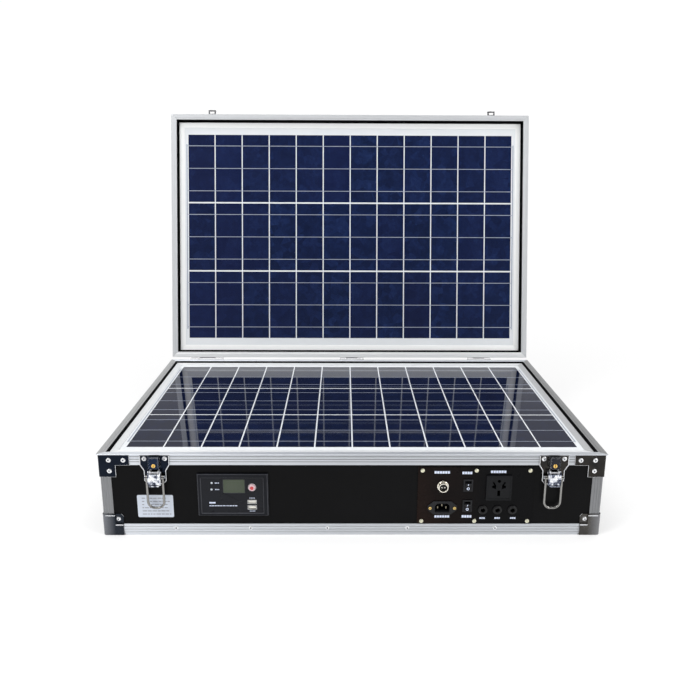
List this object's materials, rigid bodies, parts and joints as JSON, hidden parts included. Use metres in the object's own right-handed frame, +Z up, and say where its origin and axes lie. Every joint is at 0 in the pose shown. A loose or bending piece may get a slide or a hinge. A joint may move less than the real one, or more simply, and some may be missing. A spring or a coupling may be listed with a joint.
{
  "type": "solar suitcase power station",
  "caption": "Aluminium-edged suitcase with a framed solar panel in its base and in its hinged lid, and a front row of power sockets, switches and a charge controller.",
  "frame": {"origin": "centre of the case's underside, on the surface it stands on", "axes": "+Z up, -Y out of the front with the sockets and latches, +X to the right seen from the front"},
  "size_m": [0.837, 0.7548, 0.7041],
  "materials": {
    "rim_aluminium": "ribbed extrusion, satin anodised",
    "black_panel": "fine-grained black laminate on plywood",
    "chrome_hardware": "bright plated pressed steel",
    "rivet_steel": "domed blind rivets",
    "batten_wood": "black-stained softwood",
    "pv_frame_aluminium": "clear anodised",
    "pv_laminate": "tempered glass over dark blue polycrystalline cells",
    "black_abs": "moulded, fine texture",
    "gloss_black": "gloss moulded",
    "lcd_glass": "grey-green reflective LCD",
    "usb_metal": "nickel-plated shell",
    "cream_screws": "cream-coloured pan heads",
    "socket_nickel": "nickel-plated brass",
    "contact_brass": "brass contacts",
    "battery_blue": "ABS battery case",
    "inverter_grey": "grey finned extrusion",
    "cable_pvc": "red and black PVC",
    "tube_aluminium": "satin drawn tube",
    "key_brass": "brass plug",
    "button_red": "red push button",
    "grip_plastic": "textured grip",
    "wheel_rubber": "moulded wheel",
    "pin_steel": "plain steel pin"
  },
  "bodies": {
    "base": {"base_bottom_panel": "black_panel", "base_front_panel": "black_panel", "base_side_panels": "black_panel", "base_top_rim": "rim_aluminium", "base_bottom_rails": "rim_aluminium", "base_corner_posts": "rim_aluminium", "base_rivets": "rivet_steel", "base_corner_plates": "chrome_hardware", "base_corner_protectors": "chrome_hardware", "base_panel_battens": "batten_wood", "base_pv_frame": "pv_frame_aluminium", "base_pv_laminate": "pv_laminate", "base_pv_junction_box": "black_abs", "hinge_base_leaves": "chrome_hardware", "hinge_pins": "pin_steel", "latch_plates": "chrome_hardware", "controller_housing": "black_abs", "controller_lcd": "lcd_glass", "usb_sockets": "usb_metal", "control_plate": "gloss_black", "panel_screws": "cream_screws", "aviation_socket_shell": "socket_nickel", "aviation_socket_core": "black_abs", "iec_inlet_body": "black_abs", "iec_inlet_pins": "contact_brass", "rocker_housings": "gloss_black", "outlet_socket": "black_abs", "dc_sockets": "black_abs", "battery_packs": "battery_blue", "inverter_case": "inverter_grey", "power_cables": "cable_pvc", "trolley_channels": "tube_aluminium", "trolley_cup": "black_abs", "wheel_housings": "black_abs", "wheel_axles": "pin_steel"},
    "left_lock_cylinder": {"left_lock_cylinder": "key_brass"},
    "right_lock_cylinder": {"right_lock_cylinder": "key_brass"},
    "left_latch_lever": {"left_latch_lever": "chrome_hardware"},
    "right_latch_lever": {"right_latch_lever": "chrome_hardware"},
    "left_latch_bail": {"left_latch_bail": "chrome_hardware"},
    "right_latch_bail": {"right_latch_bail": "chrome_hardware"},
    "controller_button": {"controller_button": "button_red"},
    "upper_rocker": {"upper_rocker": "gloss_black"},
    "lower_rocker": {"lower_rocker": "gloss_black"},
    "inverter_fan_rotor": {"inverter_fan_rotor": "black_abs"},
    "trolley_mid_tubes": {"trolley_mid_tubes": "tube_aluminium"},
    "trolley_grip": {"trolley_grip": "grip_plastic"},
    "trolley_release_button": {"trolley_release_button": "grip_plastic"},
    "front_wheel": {"front_wheel": "wheel_rubber"},
    "rear_wheel": {"rear_wheel": "wheel_rubber"},
    "lid": {"lid_shell": "black_panel", "lid_rim": "rim_aluminium", "lid_edge_rails": "rim_aluminium", "lid_corner_protectors": "chrome_hardware", "lid_rivets": "rivet_steel", "lid_pv_frame": "pv_frame_aluminium", "lid_pv_laminate": "pv_laminate", "lid_pv_junction_box": "black_abs", "hinge_lid_leaves": "chrome_hardware", "latch_keepers": "chrome_hardware"}
  },
  "joints": [
    {"name": "lid_hinge", "type": "hinge", "parent": "base", "child": "lid", "pos_m": [0, 0.2865, 0.1423], "axis": [1, 0, 0], "range_deg": [0, 103]},
    {"name": "left_lock_turn", "type": "hinge", "parent": "base", "child": "left_lock_cylinder", "pos_m": [-0.3205, -0.284, 0.127], "axis": [0, -1, 0], "range_deg": [0, 90]},
    {"name": "left_lever_pivot", "type": "hinge", "parent": "base", "child": "left_latch_lever", "pos_m": [-0.3205, -0.2845, 0.114], "axis": [1, 0, 0], "range_deg": [-105, 0]},
    {"name": "left_bail_swing", "type": "hinge", "parent": "left_latch_lever", "child": "left_latch_bail", "pos_m": [-0.3205, -0.2845, 0.106], "axis": [-1, 0, 0], "range_deg": [0, 180]},
    {"name": "right_lock_turn", "type": "hinge", "parent": "base", "child": "right_lock_cylinder", "pos_m": [0.3275, -0.284, 0.127], "axis": [0, -1, 0], "range_deg": [0, 90]},
    {"name": "right_lever_pivot", "type": "hinge", "parent": "base", "child": "right_latch_lever", "pos_m": [0.3275, -0.2845, 0.114], "axis": [1, 0, 0], "range_deg": [-105, 0]},
    {"name": "right_bail_swing", "type": "hinge", "parent": "right_latch_lever", "child": "right_latch_bail", "pos_m": [0.3275, -0.2845, 0.106], "axis": [-1, 0, 0], "range_deg": [0, 180]},
    {"name": "controller_button_press", "type": "slide", "parent": "base", "child": "controller_button", "axis": [0, 1, 0], "range_m": [0, 0.0015], "stiffness_N_per_m": 300},
    {"name": "upper_rocker_tilt", "type": "hinge", "parent": "base", "child": "upper_rocker", "pos_m": [0.1895, -0.2725, 0.0893], "axis": [1, 0, 0], "range_deg": [-20, 0]},
    {"name": "lower_rocker_tilt", "type": "hinge", "parent": "base", "child": "lower_rocker", "pos_m": [0.1895, -0.2725, 0.0525], "axis": [1, 0, 0], "range_deg": [-20, 0]},
    {"name": "fan_spin", "type": "hinge", "parent": "base", "child": "inverter_fan_rotor", "pos_m": [0.035, 0, 0.044], "axis": [1, 0, 0], "continuous": true},
    {"name": "trolley_lower_slide", "type": "slide", "parent": "base", "child": "trolley_mid_tubes", "axis": [1, 0, 0], "range_m": [0, 0.265]},
    {"name": "trolley_upper_slide", "type": "slide", "parent": "trolley_mid_tubes", "child": "trolley_grip", "axis": [1, 0, 0], "range_m": [0, 0.265]},
    {"name": "trolley_button_press", "type": "slide", "parent": "trolley_grip", "child": "trolley_release_button", "axis": [-1, 0, 0], "range_m": [0, 0.003], "stiffness_N_per_m": 400},
    {"name": "front_wheel_spin", "type": "hinge", "parent": "base", "child": "front_wheel", "pos_m": [-0.3976, -0.19, 0.0244], "axis": [0, 1, 0], "continuous": true},
    {"name": "rear_wheel_spin", "type": "hinge", "parent": "base", "child": "rear_wheel", "pos_m": [-0.3976, 0.19, 0.0244], "axis": [0, 1, 0], "continuous": true}
  ],
  "couplings": [
    {"joint": "trolley_upper_slide", "follows": "trolley_lower_slide", "ratio": 1}
  ]
}
